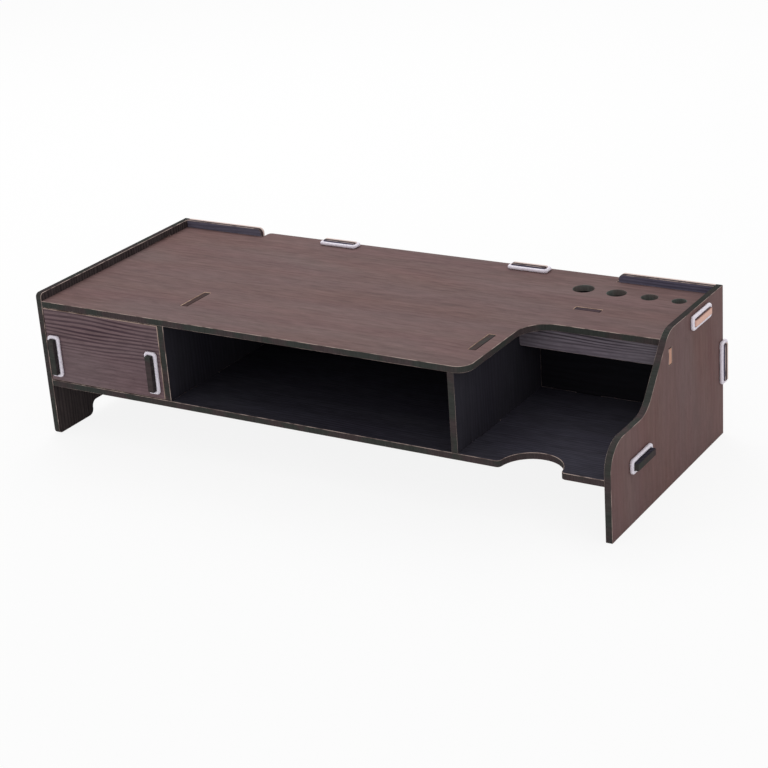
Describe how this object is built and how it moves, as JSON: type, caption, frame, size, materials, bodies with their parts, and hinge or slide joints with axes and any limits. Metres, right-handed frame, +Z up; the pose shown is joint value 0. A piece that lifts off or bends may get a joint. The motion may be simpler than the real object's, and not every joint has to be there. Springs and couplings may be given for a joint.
{
  "type": "monitor stand",
  "caption": "Flat-pack wood-grain monitor stand with a drawer, open shelf bays, a stepped corner with pen holes, and tab joints locked by elastic rings.",
  "frame": {"origin": "on the desk, under the centre of the stand's bounding box", "axes": "+X to the right for someone who faces the drawer, along the length; +Y to the rear; +Z up"},
  "size_m": [0.492, 0.206, 0.117],
  "materials": {
    "woodgrain_board": "dark brown printed wood-grain film on both faces, dark charcoal cut edges",
    "white_elastic": "soft white elastic cord, satin"
  },
  "bodies": {
    "stand": {"top_board": "woodgrain_board", "bottom_shelf": "woodgrain_board", "left_side_panel": "woodgrain_board", "right_side_panel": "woodgrain_board", "left_divider": "woodgrain_board", "right_divider": "woodgrain_board", "back_panel": "woodgrain_board", "pen_rail": "woodgrain_board", "pen_partition": "woodgrain_board", "left_top_ring": "white_elastic", "left_shelf_ring": "white_elastic", "left_back_ring": "white_elastic", "right_top_ring": "white_elastic", "right_shelf_ring": "white_elastic", "right_back_ring": "white_elastic", "rear_left_ring": "white_elastic", "rear_right_ring": "white_elastic"},
    "drawer": {"drawer_front": "woodgrain_board", "drawer_left_side": "woodgrain_board", "drawer_right_side": "woodgrain_board", "drawer_back": "woodgrain_board", "drawer_bottom": "woodgrain_board", "drawer_front_left_ring": "white_elastic", "drawer_front_right_ring": "white_elastic", "drawer_back_left_ring": "white_elastic", "drawer_back_right_ring": "white_elastic"}
  },
  "joints": [
    {"name": "drawer_slide", "type": "slide", "parent": "stand", "child": "drawer", "axis": [0, -1, 0], "range_m": [0, 0.12]}
  ]
}
